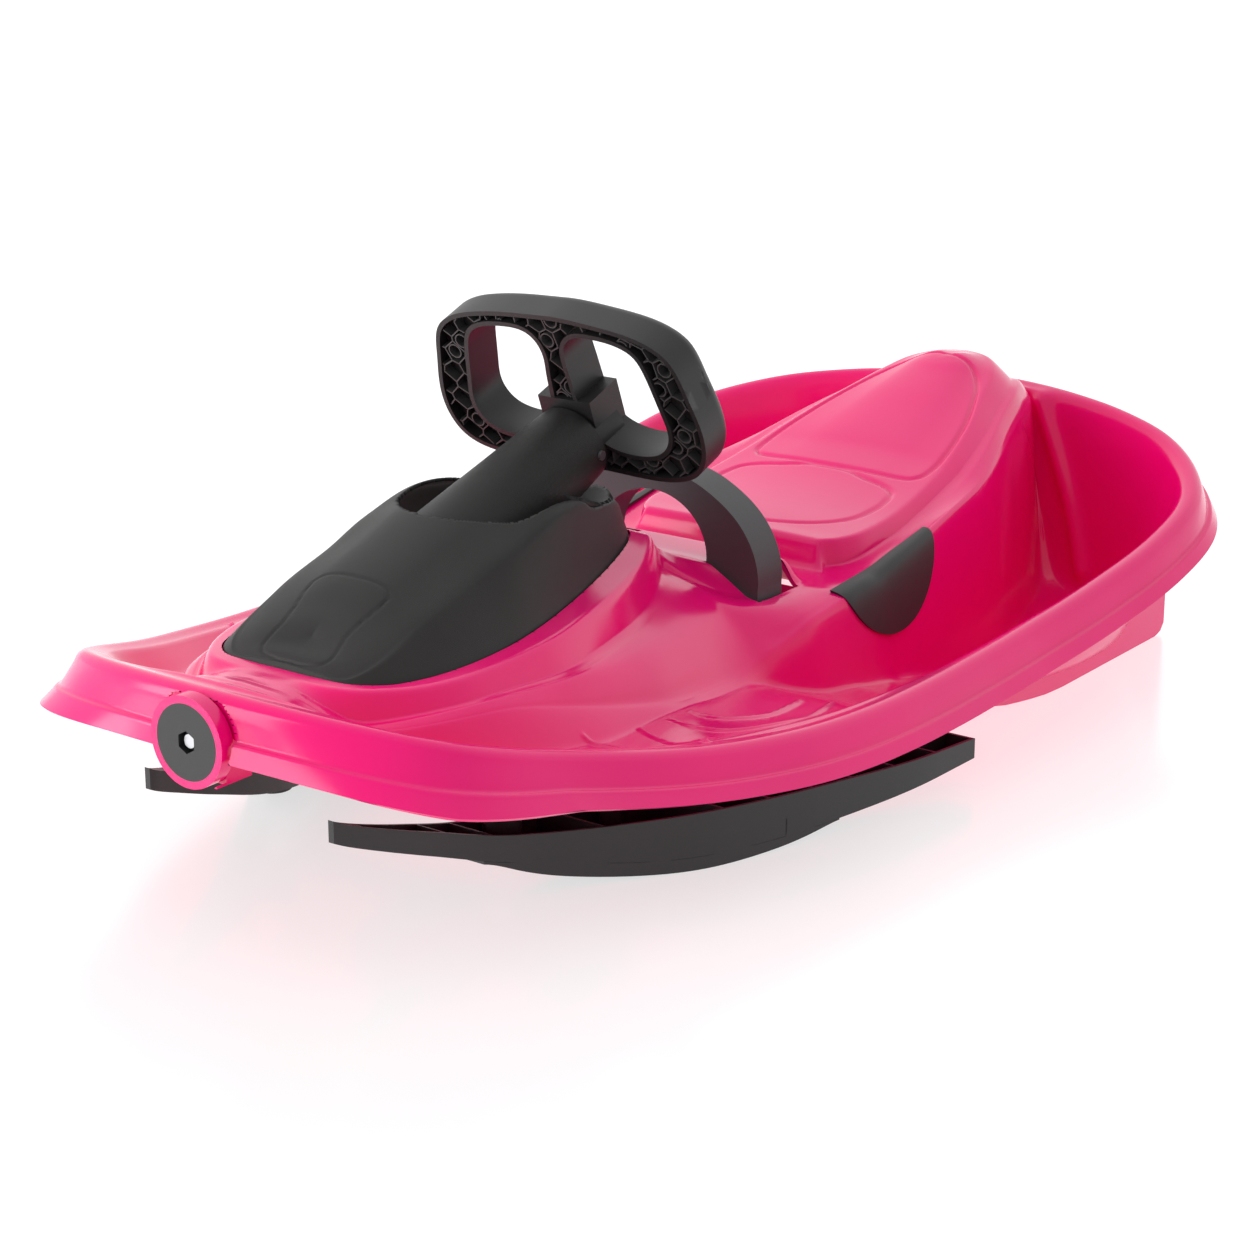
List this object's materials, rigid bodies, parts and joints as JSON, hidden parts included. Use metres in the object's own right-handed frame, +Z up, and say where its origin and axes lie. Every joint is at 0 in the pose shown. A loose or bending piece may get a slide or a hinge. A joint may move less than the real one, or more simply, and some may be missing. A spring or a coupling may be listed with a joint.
{
  "type": "steering sled",
  "caption": "Moulded snow sled for two riders with a steering wheel on an inclined column, steered front skis, a pull-back brake hoop and a turning tow disc on the nose.",
  "frame": {"origin": "on the ground under the middle of the overall box", "axes": "+X to the nose, +Y to the rider's left, +Z up"},
  "size_m": [1.16, 0.65, 0.3941],
  "materials": {
    "hull": "gloss moulded pink",
    "cowl": "fine matte texture",
    "wheel": "matte",
    "grip": "matte",
    "black": "satin",
    "bush": "plain",
    "steel": "zinc plated"
  },
  "bodies": {
    "hull": {"hull": "hull", "cowl": "cowl", "cowl_screws": "steel", "rear_column_bush": "bush", "front_column_bush": "bush", "ski_pivot_bolts": "steel", "ski_pivot_washers": "steel", "brake_pins": "steel", "tow_bolt": "steel", "tow_washer": "steel", "tow_nut": "steel", "left_grip": "grip", "right_grip": "grip"},
    "steering": {"steering_wheel": "wheel", "wheel_bolt": "steel", "column_neck": "cowl", "neck_screws": "steel", "steering_shaft": "steel", "shaft_ring": "steel", "steering_crank": "steel", "crank_pin": "steel", "crank_screw": "steel"},
    "tie_bar": {"tie_bar": "black"},
    "left_ski": {"left_ski": "black", "left_keel": "black", "left_keel_screws": "steel", "left_link_pin": "steel", "left_link_clip": "steel"},
    "right_ski": {"right_ski": "black", "right_keel": "black", "right_keel_screws": "steel", "right_link_pin": "steel", "right_link_clip": "steel"},
    "brake": {"brake_hoop": "black", "brake_claws": "steel", "claw_screws": "steel"},
    "tow_disc": {"tow_disc": "black", "tow_ring": "hull"}
  },
  "joints": [
    {"name": "steering_turn", "type": "hinge", "parent": "hull", "child": "steering", "pos_m": [0.1, 0, 0.285], "axis": [-0.9336, 0, 0.3584], "range_deg": [-25, 25]},
    {"name": "tie_slide", "type": "slide", "parent": "hull", "child": "tie_bar", "axis": [0, 1, 0], "range_m": [-0.0112, 0.0112]},
    {"name": "left_ski_turn", "type": "hinge", "parent": "hull", "child": "left_ski", "pos_m": [0.372, 0.116, 0.054], "axis": [0, 0, 1], "range_deg": [-7.3, 7.3]},
    {"name": "right_ski_turn", "type": "hinge", "parent": "hull", "child": "right_ski", "pos_m": [0.372, -0.116, 0.054], "axis": [0, 0, 1], "range_deg": [-7.3, 7.3]},
    {"name": "brake_pull", "type": "hinge", "parent": "hull", "child": "brake", "pos_m": [0.002, 0, 0.108], "axis": [0, -1, 0], "range_deg": [0, 23], "stiffness_Nm_per_rad": 4, "springref_deg": -17.19},
    {"name": "tow_spin", "type": "hinge", "parent": "hull", "child": "tow_disc", "pos_m": [0.574, 0, 0.147], "axis": [1, 0, 0], "continuous": true}
  ],
  "couplings": [
    {"joint": "tie_slide", "follows": "steering_turn", "m_per_rad": -0.0252},
    {"joint": "left_ski_turn", "follows": "steering_turn", "ratio": 0.29},
    {"joint": "right_ski_turn", "follows": "steering_turn", "ratio": 0.29}
  ]
}
